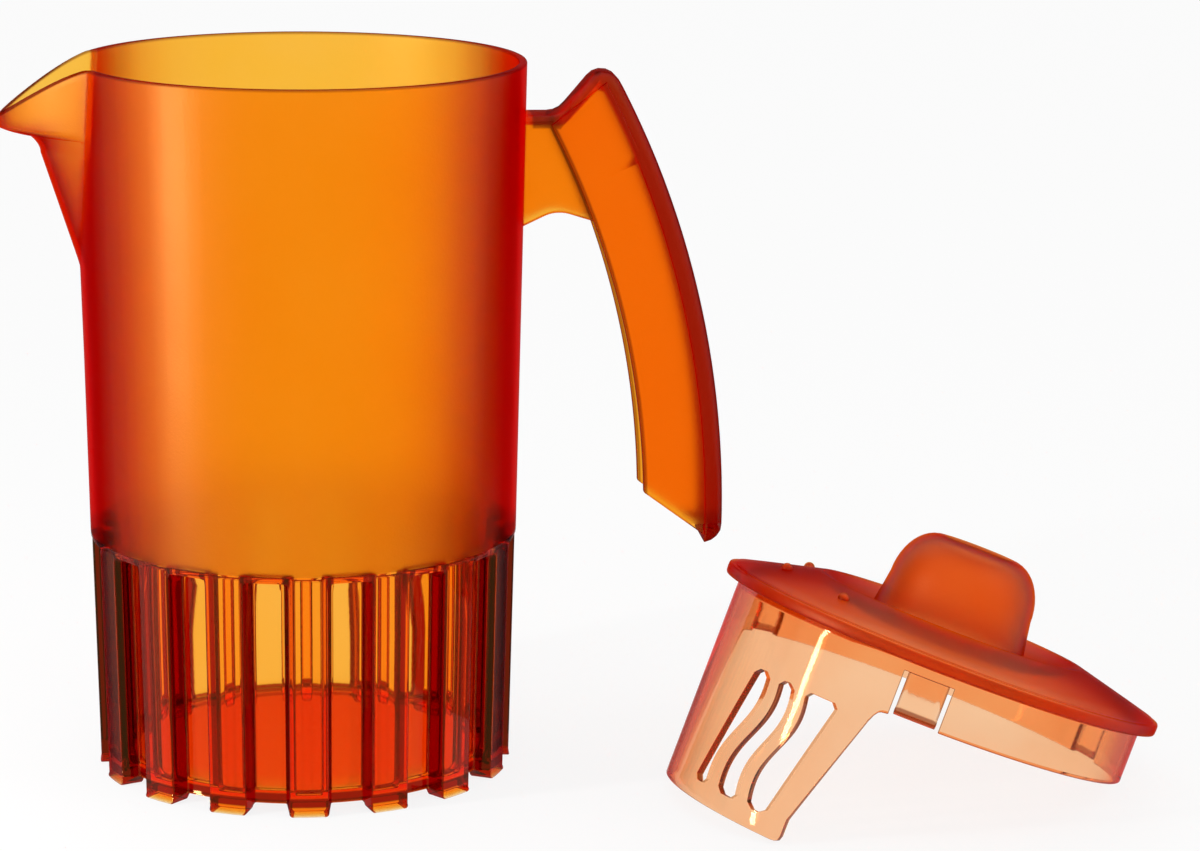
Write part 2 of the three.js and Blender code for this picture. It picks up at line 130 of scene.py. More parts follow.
# Lid
SKIRT_RADIUS = 54.9
SKIRT_WALL = 2.0
SKIRT_DEPTH = 14.4
STRAINER_DEPTH = 54.4
STRAINER_TOP_ANGLE = 48.0
STRAINER_FOOT_ANGLE = 36.0
STRAINER_HEEL = 6.0
SLOT_TOP_DEPTH = 17.0
SLOT_FOOT_DEPTH = 49.6
SLOT_WAVE = 1.9
SLOT_ROUND = 1.6
CATCH_ANGLES = (58.0, 178.0, 298.0)
CATCH_WIDTH = 10.8
CATCH_SLIT = 1.3
CATCH_ROOT = 2.95
WINDOW_TOP = 2.8
PIP_ANGLES = (-60.0, -19.5, 21.0)
PIP_PLACE = 45.0
PIP_HEIGHT = 6.64
PIP_SIZE = 1.5

# Where the jug and the lid stand in the frame, in metres. The lid leans on its strainer's two corners and
# on the far edge of its skirt, and its axis leans downhill.
JUG_FOOT = np.array([-0.070411, 0.018426, 0.0])
LID_CENTRE = np.array([0.091589, -0.017574, 0.034624])
LID_DOWNHILL = math.radians(17)
LID_TILT = math.atan((STRAINER_DEPTH - SKIRT_DEPTH)
                     / (SKIRT_RADIUS * (1 + math.cos(math.radians(STRAINER_FOOT_ANGLE)))))
LID_ACROSS = np.array([math.sin(LID_DOWNHILL), -math.cos(LID_DOWNHILL), 0.0])
LID_AXIS = np.array([math.sin(LID_TILT) * math.cos(LID_DOWNHILL),
                     math.sin(LID_TILT) * math.sin(LID_DOWNHILL), math.cos(LID_TILT)])
LID_UPHILL = np.cross(LID_ACROSS, LID_AXIS)
LID_PLACE = {"place": LID_CENTRE, "turn": np.stack([LID_UPHILL, LID_ACROSS, LID_AXIS])}


# Meshes

def piece(name, points, faces, place=JUG_FOOT, turn=np.eye(3)):
    """A mesh object from points in millimetres. A point p goes to place + p @ turn, and the faces are
    turned over when the volume that they close comes out negative."""
    world = place + (points * MM) @ turn
    mesh = bpy.data.meshes.new(name)
    mesh.from_pydata(world.tolist(), [], faces)
    mesh.update()
    mesh.calc_loop_triangles()
    corners = np.empty(3 * len(mesh.loop_triangles), dtype=np.int32)
    mesh.loop_triangles.foreach_get("vertices", corners)
    a, b, c = (world[corners[k::3]] - place for k in range(3))
    if np.einsum("ij,ij->i", np.cross(a, b), c).sum() < 0:
        mesh.flip_normals()
    mesh.shade_smooth()
    mesh.set_sharp_from_angle(angle=SHARP_ANGLE)
    thing = bpy.data.objects.new(name, mesh)
    bpy.context.scene.collection.objects.link(thing)
    return thing


def net_faces(rows, columns):
    """Faces of a net whose rows close on themselves, with one flat face over each end row."""
    i = np.arange(rows - 1)[:, None] * columns
    j = np.arange(columns)[None, :]
    k = (j + 1) % columns
    quads = np.stack([i + j, i + k, i + columns + k, i + columns + j], axis=-1).reshape(-1, 4).tolist()
    return quads + [list(range(columns))[::-1], list(range((rows - 1) * columns, rows * columns))]


def net_piece(name, net, **where):
    """A closed piece from a net of points, given as rows, columns and xyz."""
    rows, columns, _ = net.shape
    return piece(name, net.reshape(-1, 3), net_faces(rows, columns), **where)


def pole_piece(name, net, **where):
    """A closed piece from a net whose first and last rows shrink to one point each."""
    rows, columns, _ = net.shape
    points = np.concatenate([net.reshape(-1, 3), net[[0, -1]].mean(axis=1)])
    j = np.arange(columns)
    k = (j + 1) % columns
    last = (rows - 1) * columns
    foot = np.stack([k, j, np.full(columns, rows * columns)], axis=-1).tolist()
    top = np.stack([last + j, last + k, np.full(columns, rows * columns + 1)], axis=-1).tolist()
    return piece(name, points, net_faces(rows, columns)[:-2] + foot + top, **where)


def around(radius, angle, height):
    """Points at a radius, an angle in degrees and a height: x = r cos a, y = r sin a, z."""
    radius, angle, height = np.broadcast_arrays(radius, np.radians(angle), height)
    return np.stack([radius * np.cos(angle), radius * np.sin(angle), height], axis=-1)


def fused(body, others, operation="UNION"):
    """Joins the others to the body, or cuts them out of it, and drops them."""
    for other in others:
        fuse = body.modifiers.new("fuse", "BOOLEAN")
        fuse.operation = operation
        fuse.solver = "MANIFOLD"
        fuse.object = other
    shape = body.evaluated_get(bpy.context.evaluated_depsgraph_get())
    mesh = bpy.data.meshes.new_from_object(shape)
    body.modifiers.clear()
    body.data = mesh
    for other in others:
        bpy.data.objects.remove(other)
    mesh.shade_smooth()
    mesh.set_sharp_from_angle(angle=SHARP_ANGLE)
    return body


# Jug

def barrel_radius(height):
    """The frosted barrel's outer radius, widening in a straight line from the seam to the rim."""
    return SEAM_RADIUS + (RIM_RADIUS - SEAM_RADIUS) * (height - SEAM_HEIGHT) / (JUG_HEIGHT - SEAM_HEIGHT)


def rib_radius(height):
    """The base's outer radius over a rib, widening in a straight line from the foot to the seam."""
    return FOOT_RADIUS + (SEAM_RADIUS - FOOT_RADIUS) * height / SEAM_HEIGHT


# Degrees from a rib's middle where its skin or its hollow turns, and how far it is raised there, from 0 to 1
RIB_KNOTS = np.array([0, 4.4, 4.8, 5.15, 5.35, 5.47, 6.35, 6.47, 6.68, 7.1, 7.6, 8.2])
RIB_LEVELS = np.array([1, 1, 1, 0.985, 0.945, 0.86, 0.14, 0.055, 0.015, 0, 0, 0])
HOLLOW_KNOTS = np.array([3.3, 3.75, 3.85, 4.15, 4.25, 4.62])
HOLLOW_LEVELS = np.array([1, 0.945, 0.86, 0.14, 0.055, 0])


def from_rib(angle):
    """How many degrees an angle lies from the middle of the nearest rib."""
    pitch = 360 / RIB_COUNT
    return np.abs((angle - RIB_PHASE + pitch / 2) % pitch - pitch / 2)


def rib_level(angle):
    """1 over a rib and 0 in the recess between two, with small rounds where the rib's side turns."""
    return np.interp(from_rib(angle), RIB_KNOTS, RIB_LEVELS)


def recess_top(angle):
    """How far a recess's top sinks at its two corners, each rounded by a quarter circle."""
    apart = np.radians(from_rib(angle) - RECESS_ANGLE) * (SEAM_RADIUS - RIB_DEPTH)
    short = np.clip(1 - apart / RECESS_ROUND, 0, 1)
    return RECESS_ROUND * (1 - np.sqrt(1 - short ** 2))


def foot_corner(angle):
    """How far a foot's underside rises at its two sides, each rounded by a quarter circle."""
    apart = np.radians(RIB_ANGLE - from_rib(angle)) * FOOT_RADIUS
    short = np.clip(1 - apart / FOOT_ROUND, 0, 0.98)
    return FOOT_ROUND * (1 - np.sqrt(1 - short ** 2))


def jug_angles():
    """The jug's columns: the corners of every rib, and closely set ones across the spout. Of two that lie
    within 0.07 degrees, one is left out."""
    pitch = 360 / RIB_COUNT
    one = np.concatenate([RIB_KNOTS, HOLLOW_KNOTS])
    one = np.concatenate([one, -one[1:], [pitch / 2]])
    ribs = (RIB_PHASE + np.arange(RIB_COUNT)[:, None] * pitch + one).ravel() % 360
    spout = 180 + np.linspace(-25, 25, 115)
    angles = np.sort(np.concatenate([ribs, spout]))
    return angles[np.diff(angles, append=angles[0] + 360) > 0.07]


def nose_reach(height):
    """How far the spout's nose stands from the axis: a straight keel, a beak that curves out with the square
    of the height, a flare that starts level and follows its root, and a brow that leans out to the top."""
    keel = np.interp(height, [SPOUT_FOOT, KEEL_TOP], [KEEL_FOOT_REACH, KEEL_TOP_REACH])
    beak_share = np.clip((height - KEEL_TOP) / (BEAK_TOP - KEEL_TOP), 0, 1)
    beak = KEEL_TOP_REACH + (BEAK_TOP_REACH - KEEL_TOP_REACH) * beak_share ** 2
    flare_share = np.clip((height - BEAK_TOP) / (FLARE_TOP - BEAK_TOP), 0, 1)
    brow_share = np.clip((height - FLARE_TOP) / (JUG_HEIGHT - FLARE_TOP), 0, None)
    brow = BEAK_TOP_REACH + (SPOUT_REACH - BEAK_TOP_REACH) * np.sqrt(flare_share) + BROW_LEAN * brow_share
    return np.where(height < KEEL_TOP, keel, np.where(height < BEAK_TOP, beak, brow))


def spout_levels():
    """Heights of the level rows from below the spout's foot to the flare's top, closest at the knee."""
    keel_shares = np.linspace(0, 1, 12, endpoint=False) ** 1.25
    keel = SPOUT_ROWS_FOOT + (KEEL_TOP - SPOUT_ROWS_FOOT) * keel_shares
    beak = np.linspace(KEEL_TOP, BEAK_TOP, 7, endpoint=False)
    flare = BEAK_TOP + (FLARE_TOP - BEAK_TOP) * np.linspace(0, 1, 9) ** 2
    return np.concatenate([keel, beak, flare])


def spout_radius(angle, height, wall):
    """The spout's radius at an angle from its middle: level sections x = nose + (crease - nose) t^(1/share),
    y = half width times t, solved for t by halving."""
    half = SPOUT_HALF_WIDTH * np.sqrt(np.clip((height - SPOUT_FOOT) / (JUG_HEIGHT - SPOUT_FOOT), 0, None))
    half = np.maximum(half - wall, 0.01)
    nose = nose_reach(height) - wall
    crease = np.sqrt(barrel_radius(height) ** 2 - half ** 2) - wall
    slope = np.abs(np.tan(np.radians(np.clip(angle, -80, 80))))
    low, high = np.zeros_like(half * slope), np.full_like(half * slope, 1.6)
    for _ in range(26):
        t = (low + high) / 2
        over = half * t > slope * (nose + (crease - nose) * t ** (1 / FLANK_SHARE))
        low, high = np.where(over, low, t), np.where(over, t, high)
    reach = nose + (crease - nose) * t ** (1 / FLANK_SHARE)
    return np.where((t < 1.55) & (np.abs(angle) < 40), np.hypot(reach, half * t), 0.0)


def softer_of(a, b, size):
    """The larger of two radii, with a small round of about the given size where they cross."""
    return (a + b + np.sqrt((a - b) ** 2 + size ** 2)) / 2


def outer_wall(angle, height):
    """The outer radius above the seam: the barrel, or the spout where that stands further out."""
    return softer_of(barrel_radius(height), spout_radius(angle - 180, height, 0.0), 0.25)


def inner_wall(angle, height):
    """The inner radius above the ledge, a wall's thickness inside the barrel and the spout."""
    return softer_of(barrel_radius(height) - BARREL_WALL, spout_radius(angle - 180, height, SPOUT_WALL), 0.4)


def lip_height(angle, wall):
    """Where a wall meets the lip, which falls towards the spout's tip as drop times share of the way to a
    power. The lowest height at which the wall has reached the lip is taken."""
    heights = np.linspace(150, JUG_HEIGHT, 900)[:, None]
    reach = -wall(angle[None, :], heights) * np.cos(np.radians(angle))[None, :]
    share = np.clip((reach - LIP_START) / (SPOUT_REACH - LIP_START), 0, None)
    above = heights - (JUG_HEIGHT - LIP_DROP * share ** LIP_SHARE) >= -1e-6
    return heights[above.argmax(axis=0), 0]


def base_rows(angle):
    """Rows from the middle of the underside over the feet and up the ribs to the recesses' tops."""
    level = rib_level(angle)
    sink = recess_top(angle)
    foot = FOOT_HEIGHT * (1 - level) + foot_corner(angle) * level
    inner_foot = rib_radius(0) - RIB_DEPTH - BASE_WALL

    def under(share, lift=0.0):
        edge = rib_radius(0) - RIB_DEPTH * (1 - level)
        return around(inner_foot + share * (edge - inner_foot), angle, foot + lift * level)

    def side(share, filled=0.0, lift=0.0):
        start = foot + 0.45
        height = start + share * (SEAM_HEIGHT - 1.6 - sink - start) + lift + sink * filled
        raised = level + (1 - level) * filled
        return around(rib_radius(height) - RIB_SETBACK - RIB_DEPTH * (1 - raised), angle, height)

    rows = [around(r, angle, FOOT_HEIGHT) for r in (2.0, 16.0, 32.0, 44.0, inner_foot - 0.35)]
    rows += [under(0.0, 1.9), under(0.0, 0.3), under(0.05), under(0.5), under(0.94), under(0.99, 0.12)]
    rows += [side(share) for share in (0, 0.12, 0.25, 0.4, 0.55, 0.7, 0.85, 0.96, 1)]
    rows += [side(1, filled, lift) for filled, lift in
             ((0.02, 0.4), (0.08, 0.65), (0.2, 0.78), (0.6, 0.84), (0.92, 0.9), (0.985, 0.96), (1, 1.1))]
    return rows


def outside_rows(angle, top):
    """Rows up the barrel from its seam and up the spout to just below the lip."""
    rows = [around(barrel_radius(SEAM_HEIGHT) - RIB_SETBACK, angle, SEAM_HEIGHT - 0.05),
            around(barrel_radius(SEAM_HEIGHT) - 0.08, angle, SEAM_HEIGHT),
            around(barrel_radius(SEAM_HEIGHT), angle, SEAM_HEIGHT + 0.12)]
    rows += [around(barrel_radius(z), angle, z) for z in (62.4, 85, 107)]
    rows += [around(outer_wall(angle, z), angle, z) for z in spout_levels()]
    for share in np.linspace(0, 1, 11)[1:]:
        height = FLARE_TOP + share * (top - EDGE_ROUND - FLARE_TOP)
        rows.append(around(outer_wall(angle, height), angle, height))
    return rows


def lip_rows(angle, outer_top, inner_top):
    """Rows over the rim: its outer edge's round, a flat and its inner edge's round."""
    edge = ((0.04, 0.3), (0.15, 0.12), (0.32, 0.03), (0.55, 0.0))
    rows = [around(outer_wall(angle, outer_top - EDGE_ROUND) - inset, angle, outer_top - sink)
            for inset, sink in edge]
    rows += [around(inner_wall(angle, inner_top - EDGE_ROUND) + inset, angle, inner_top - sink)
             for inset, sink in edge[::-1]]
    return rows


def inside_rows(angle, top):
    """Rows from just below the lip down inside the spout and the barrel to above the ledge."""
    rows = []
    for share in np.linspace(1, 0, 11)[:-1]:
        height = FLARE_TOP + share * (top - EDGE_ROUND - FLARE_TOP)
        rows.append(around(inner_wall(angle, height), angle, height))
    rows += [around(inner_wall(angle, z), angle, z) for z in spout_levels()[::-1]]
    return rows + [around(barrel_radius(z) - BARREL_WALL, angle, z) for z in (107, 85, 66.5)]


def well_rows(angle):
    """Rows over the ledge, down inside the base with its hollow ribs, and over the floor to its middle."""
    hollow = HOLLOW_DEPTH * np.interp(from_rib(angle), HOLLOW_KNOTS, HOLLOW_LEVELS)

    def wall(z):
        return rib_radius(z) - RIB_DEPTH - BASE_WALL + hollow

    ledge, width = wall(SEAM_HEIGHT), LEDGE_WIDTH - hollow
    rows = [around(ledge + width * share, angle, SEAM_HEIGHT + rise) for share, rise in
            ((1.0, 2.25), (0.96, 1.25), (0.85, 0.5), (0.67, 0.13), (0.23, 0.05), (0.09, -0.07), (0.02, -0.4))]
    rows += [around(wall(z), angle, z) for z in (61, 45, 25, 10, FLOOR_HEIGHT + 2.3)]
    for inset, rise in ((0.08, 1.7), (0.3, 0.9), (0.75, 0.35), (1.4, 0.1), (2.3, 0.0)):
        rows.append(around(wall(FLOOR_HEIGHT) - inset, angle, FLOOR_HEIGHT + rise))
    return rows + [around(r, angle, FLOOR_HEIGHT) for r in (40.0, 26.0, 12.0, 2.0)]


def jug_net():
    """The whole jug's skin as one net: underside, feet, ribs, barrel, lip, inside, ledge and floor."""
    angle = jug_angles()
    outer_top, inner_top = lip_height(angle, outer_wall), lip_height(angle, inner_wall)
    return np.stack(base_rows(angle) + outside_rows(angle, outer_top) + lip_rows(angle, outer_top, inner_top)
                    + inside_rows(angle, inner_top) + well_rows(angle))


# Handle

def filleted(corners, steps=7):
    """A line through corners given as x, z and radius, with each corner rounded by an arc."""
    corners = [np.array(c, dtype=float) for c in corners]
    line = []
    for i, (x, z, radius) in enumerate(corners):
        here = np.array([x, z])
        if radius == 0:
            line.append(here)
            continue
        back, ahead = corners[i - 1][:2] - here, corners[i + 1][:2] - here
        back, ahead = back / np.linalg.norm(back), ahead / np.linalg.norm(ahead)
        half = math.acos(np.clip(back @ ahead, -1, 1)) / 2
        middle = (back + ahead) / np.linalg.norm(back + ahead)
        centre = here + middle * radius / math.sin(half)
        first, last = here + back * radius / math.tan(half), here + ahead * radius / math.tan(half)
        start = math.atan2(*(first - centre)[::-1])
        sweep = (math.atan2(*(last - centre)[::-1]) - start + math.pi) % (2 * math.pi) - math.pi
        angles = start + sweep * np.linspace(0, 1, steps)
        line += list(centre + radius * np.stack([np.cos(angles), np.sin(angles)], axis=-1))
    return np.array(line)


def grip_bend(radius, top, foot, steps=22):
    """Points of the grip's bend, an arc about one centre, from a top height down to a foot height."""
    angle = np.linspace(*(np.arcsin((z - GRIP_CENTRE[1]) / radius) for z in (top, foot)), steps)
    return GRIP_CENTRE + radius * np.stack([np.cos(angle), np.sin(angle)], axis=-1)


def on_bend(radius, height):
    """The bend's one point at a height."""
    return grip_bend(radius, height, height, 1)[0]


def even(line, count):
    """The same line with points at equal steps of its length."""
    steps = np.concatenate([[0], np.cumsum(np.linalg.norm(np.diff(line, axis=0), axis=1))])
    at = np.linspace(0, steps[-1], count)
    return np.stack([np.interp(at, steps, line[:, k]) for k in (0, 1)], axis=-1)


def band(name, upper, lower, width, middle=0.0, upper_round=0.5, lower_round=0.5):
    """A band between two side view lines of equal count. Its sections are rectangles as wide as given, with
    corners rounded by quarter circles, which shrink where the band gets thin."""
    width = np.broadcast_to(width, len(upper))[:, None]
    tall = np.linalg.norm(upper - lower, axis=1)[:, None]
    turn = np.radians(np.linspace(0, 90, CORNER_STEPS))
    quarter = np.concatenate([turn + k * math.pi / 2 for k in range(4)])[None, :]
    corner = np.repeat([[1, 1], [-1, 1], [-1, -1], [1, -1]], CORNER_STEPS, axis=0).T[:, None, :]
    above, below = np.minimum(upper_round, 0.8 * tall), np.minimum(lower_round, 0.45 * tall)
    size = np.where(corner[1] > 0, above, below)
    across = corner[0] * (width / 2 - size) + size * np.cos(quarter)
    rise = corner[1] * (tall / 2 - size) + size * np.sin(quarter)
    share = (0.5 + rise / tall)[..., None]
    side = lower[:, None, :] * (1 - share) + upper[:, None, :] * share
    return net_piece(name, np.stack([side[..., 0], middle + across, side[..., 1]], axis=-1))


def slope_foot():
    """Where the neck's level roof turns up to the peak, as a distance from the jug's axis."""
    return float(on_bend(GRIP_RADIUS, PEAK_HEIGHT)[0] - (PEAK_HEIGHT - NECK_TOP) / math.tan(PEAK_SLOPE))


def grip_band(count=90):
    """The neck's roof, the peak and the grip's spine in one band. Its upper line runs level, up to the peak
    and down the bend to the toe, and its lower line lies a roof's or a spine's thickness below that."""
    upper = filleted([(ROOT_RADIUS, NECK_TOP, 0), (slope_foot(), NECK_TOP, ROOF_ROUND),
                      (*on_bend(GRIP_RADIUS, PEAK_HEIGHT), PEAK_ROUND)]
                     + [(x, z, 0) for x, z in grip_bend(GRIP_RADIUS, PEAK_HEIGHT - 8.5, TOE_HEIGHT + 7, 24)]
                     + [(*on_bend(GRIP_RADIUS, TOE_HEIGHT), TOE_ROUND),
                        (*on_bend(GRIP_RADIUS - TOE_WIDTH, TOE_HEIGHT), 0)])
    under = NECK_TOP - NECK_ROOF
    inset = NECK_ROOF / math.sin(PEAK_SLOPE) - NECK_ROOF / math.tan(PEAK_SLOPE)
    spine_inner = GRIP_RADIUS - SPINE_THICKNESS
    lower = filleted([(ROOT_RADIUS, under, 0), (slope_foot() + inset, under, 3.0),
                      (*on_bend(spine_inner, CROWN_HEIGHT), 1.5)]
                     + [(x, z, 0) for x, z in grip_bend(spine_inner, CROWN_HEIGHT - 3.5, TOE_HEIGHT, 24)])
    wider = np.clip((np.linspace(0, 1, count) - 0.16) / 0.2, 0, 1)
    width = NECK_WIDTH + (SPINE_WIDTH - NECK_WIDTH) * wider ** 2 * (3 - 2 * wider)
    return band("grip_band", even(upper, count), even(lower, count), width, upper_round=3.8, lower_round=0.6)


def grip_cheeks():
    """The grip's two cheeks, each a plate from the spine to the bend's inner edge."""
    edge_line = grip_bend(GRIP_RADIUS - GRIP_DEPTH, 168.0, HEEL_HEIGHT, 40)
    back_line = grip_bend(GRIP_RADIUS - 3.4, CROWN_HEIGHT + 1.0, TOE_HEIGHT + 0.6, 40)
    middle = (CHEEK_WIDTH - CHEEK_WALL) / 2
    return [band(name, back_line, edge_line, CHEEK_WALL, side * middle)
            for name, side in (("cheek_front", -1), ("cheek_back", 1))]


def neck_sides():
    """The neck's two sides, each a plate from the roof down to an arched lower edge."""
    grip_inner = GRIP_RADIUS - GRIP_DEPTH
    edge = on_bend(grip_inner, NECK_HEEL)[0] + 0.6
    apex = RIM_RADIUS + (edge - RIM_RADIUS) * ARCH_SHARE
    arch = filleted([(barrel_radius(NECK_FOOT) - 1.2, NECK_FOOT, 0), (apex, ARCH_TOP, ARCH_ROUND),
                     (edge, NECK_HEEL, 0)])
    level = NECK_TOP - 1.0
    roof_line = np.stack([np.linspace(ROOT_RADIUS - 0.4, on_bend(grip_inner, level)[0] + 1.0, 24),
                          np.full(24, level)], axis=-1)
    middle = (NECK_WIDTH - NECK_WALL) / 2
    return [band(name, roof_line, even(arch, 24), NECK_WALL, side * middle)
            for name, side in (("neck_front", -1), ("neck_back", 1))]


# Lid

# Half outlines of the lid, as radius and height over the cover's underside
KNOB_ROOF = [(1.5, 28.1), (6, 28.1), (8.5, 28.14), (8.95, 28.3), (9.3, 28.58)]
COVER_TOP = [(20.65, 6.4), (20.95, 5.8), (21.5, 5.5), (22.6, 5.4), (24, 5.42), (25.4, 5.52), (27, 5.86),
             (30.2, 7.0), (33.4, 8.3), (34.6, 8.78), (35.5, 8.93), (36.4, 8.86), (37.3, 8.62), (40, 7.93),
             (46, 6.38), (52, 4.82), (57.2, 3.42), (57.36, 3.3), (57.42, 3.1), (57.55, 3.02), (58.2, 3.0),
             (58.62, 2.86), (58.8, 2.5), (58.86, 1.7), (58.8, 0.5), (58.62, 0.12), (58.3, 0.0), (55.6, 0.0),
             (55.1, -0.1)]
COVER_INSIDE = [(52.6, 1.6), (51.9, 2.2), (50.7, 2.95), (46, 4.16), (40, 5.72), (37, 6.5), (35.6, 6.74),
                (34.4, 6.6), (33.2, 6.1), (30, 4.8), (27, 3.66), (24.6, 3.24), (21, 3.2), (19.4, 3.3),
                (18.8, 3.6), (18.6, 4.2)]


def knob_line(inset, steps):
    """The knob's side: a foot that draws in, then a quarter of an ellipse up to its flat top."""
    angle = np.radians(np.linspace(0, 90, steps))
    dome = np.stack([9.8 + (9.4 - inset) * np.cos(angle), 15.4 + (13.3 - inset) * np.sin(angle)], axis=-1)
    return np.concatenate([[(20.5 - inset, 7.2), (19.85 - inset, 11.0)], dome])


def skirt_depth(angle):
    """How deep the skirt hangs: its plain depth, and the strainer panel's outline between its two sides."""
    apart = np.abs((angle + 180) % 360 - 180)
    side = np.interp(apart, [STRAINER_FOOT_ANGLE + 0.05, STRAINER_TOP_ANGLE - 2.4, STRAINER_TOP_ANGLE - 0.7,
                             STRAINER_TOP_ANGLE + 0.8, STRAINER_TOP_ANGLE + 3],
                     [STRAINER_DEPTH - STRAINER_HEEL, 21.5, 16.6, 14.7, SKIRT_DEPTH])
    foot = STRAINER_DEPTH - np.interp(apart, [33.6, 34.8, 35.6, STRAINER_FOOT_ANGLE], [0, 0.15, 0.55, 1.6])
    return np.where(apart <= STRAINER_FOOT_ANGLE, foot, side)


def lid_angles():
    """The lid's columns, closely set over the steep sides of the strainer panel."""
    steep = np.concatenate([np.linspace(33, 36, 8), [36.05, 36.6], np.linspace(37.4, 52, 18)])
    plain, panel = np.linspace(54, 306, 106), np.linspace(-32, 32, 41)
    return np.sort(np.concatenate([plain, panel % 360, steep, -steep % 360]))


def lid_net():
    """The whole lid's skin as one net: knob, dish, ridge, cone, rim band, skirt with the strainer panel,
    and back up inside to the hollow of the knob."""
    angle = lid_angles()
    depth = skirt_depth(angle)
    share = np.linspace(0, 1, 20)
    outside = KNOB_ROOF + [*knob_line(0, 13)[::-1]] + COVER_TOP
    rows = [around(r, angle, z) for r, z in outside]
    rows += [around(SKIRT_RADIUS, angle, -0.4 - s * (depth - 0.75)) for s in share]
    edge = [(0.1, 0.15), (0.3, 0.0), (SKIRT_WALL - 0.3, 0.0), (SKIRT_WALL - 0.1, 0.15)]
    rows += [around(SKIRT_RADIUS - inset, angle, -depth + rise) for inset, rise in edge]
    rows += [around(SKIRT_RADIUS - SKIRT_WALL, angle, -depth + 0.35 + s * (depth + 0.6)) for s in share]
    inside = COVER_INSIDE + [*knob_line(SKIRT_WALL, 10)] + [(8.6, 26.1), (5.0, 26.1), (1.5, 26.1)]
    return np.stack(rows + [around(r, angle, z) for r, z in inside])


# Degrees from the panel's middle of the slots' edges, at their tops and at their feet
SLOT_TOPS = [9.5, 14.2, 19, 23.4, 28, 38]
SLOT_FEET = [0.5, 6.2, 12, 19, 23.5, 29]


def slot_cutter(index):
    """A bar through the panel whose outline is one slot: its two edges each have one wave, but for the
    outermost two of all, and its ends are rounded."""
    middle = (SLOT_TOPS[2 * index] + SLOT_FEET[2 * index + 1]) / 2
    length = SLOT_FOOT_DEPTH - SLOT_TOP_DEPTH
    share = np.linspace(0, 1, 25)
    ends = np.clip(np.minimum(share, 1 - share) * length / SLOT_ROUND, 0, 1)
    draw_in = SLOT_ROUND * (1 - np.sqrt(1 - (1 - ends) ** 2))
    edges = []
    for place, way in ((2 * index, 1), (2 * index + 1, -1)):
        angle = np.radians(SLOT_TOPS[place] + (SLOT_FEET[place] - SLOT_TOPS[place]) * share - middle)
        wave = 0 if place in (0, 5) else SLOT_WAVE * np.sin(2 * math.pi * share)
        edges.append(SKIRT_RADIUS * np.sin(angle) + wave + way * draw_in)
    depth = -(SLOT_TOP_DEPTH + length * share)
    y = np.concatenate([edges[0], edges[1][::-1]])
    z = np.concatenate([depth, depth[::-1]])
    loop = np.stack([np.zeros_like(y), y, z], axis=-1)
    net = np.stack([loop + [x, 0, 0] for x in (50.0, 58.0)])
    a = math.radians(middle)
    turned = net @ np.array([[math.cos(a), math.sin(a), 0], [-math.sin(a), math.cos(a), 0], [0, 0, 1]])
    return net_piece("slot_cutter", turned, **LID_PLACE)


def catch_window(angle):
    """A bar that cuts the window of one catch out of the skirt: one section carried round its curve."""
    spread = math.degrees((CATCH_WIDTH / 2 + CATCH_SLIT) / SKIRT_RADIUS)
    inner, outer, below = SKIRT_RADIUS - 3.4, SKIRT_RADIUS + 1.6, SKIRT_DEPTH + 2.6
    radius = np.array([inner, inner, outer, outer])
    height = np.array([-below, -WINDOW_TOP, -WINDOW_TOP, -below])
    rows = [around(radius, a, height) for a in np.linspace(angle - spread, angle + spread, 9)]
    return net_piece("catch_window", np.stack(rows), **LID_PLACE)


def lid_pip(angle):
    """A low round pip on the cover: a ball that stands half out of it."""
    turn = np.linspace(0, 360, 24, endpoint=False)
    tilt = np.radians(np.linspace(-80, 86, 12))
    net = np.stack([around(PIP_SIZE * math.cos(t), turn, PIP_SIZE * math.sin(t)) for t in tilt])
    a = math.radians(angle)
    net = net + [PIP_PLACE * math.cos(a), PIP_PLACE * math.sin(a), PIP_HEIGHT]
    return pole_piece("pip", net, **LID_PLACE)


def snap_catch(index):
    """One tongue of the skirt: a curved plate with a ridge near its foot. Sections across the wall are
    carried round the skirt's curve."""
    angle = CATCH_ANGLES[index]
    spread = math.degrees(CATCH_WIDTH / 2 / SKIRT_RADIUS)
    inner, outer = SKIRT_RADIUS - SKIRT_WALL, SKIRT_RADIUS
    line = [(inner, -CATCH_ROOT), (inner, -13.5), (inner + 0.3, -13.8), (outer - 0.2, -13.85),
            (outer + 0.05, -13.7), (outer + 0.85, -13.0), (outer + 0.95, -12.7), (outer + 0.85, -12.35),
            (outer + 0.1, -11.6), (outer, -11.3), (outer, -CATCH_ROOT)]
    rows = []
    for a, shrink in zip(np.linspace(angle - spread, angle + spread, 11), [0.25] + [0] * 9 + [0.25]):
        section = np.array([(r + (shrink if r < inner + 0.6 else -shrink), z) for r, z in line])
        rows.append(around(section[:, 0], a, section[:, 1]))
    return net_piece(f"catch_tongue_{index + 1}", np.stack(rows), **LID_PLACE)


# Materials

class Wire:
    """A node's output, with the sums that the finishes use on values."""

    def __init__(self, tree, socket):
        self.tree, self.socket = tree, socket

    def join(self, operation, other, swapped=False):
        pair = [other, self] if swapped else [self, other]
        return node(self.tree, "ShaderNodeMath", {"operation": operation}, dict(enumerate(pair)))

    def __add__(self, other):
        return self.join("ADD", other)

    def __mul__(self, other):
        return self.join("MULTIPLY", other)

    def __sub__(self, other):
        return self.join("SUBTRACT", other)

    def __rsub__(self, other):
        return self.join("SUBTRACT", other, swapped=True)

    __radd__, __rmul__ = __add__, __mul__


def bare_tree(owner):
    """The node tree of a material or a world, emptied."""
    owner.use_nodes = True
    owner.node_tree.nodes.clear()
    return owner.node_tree


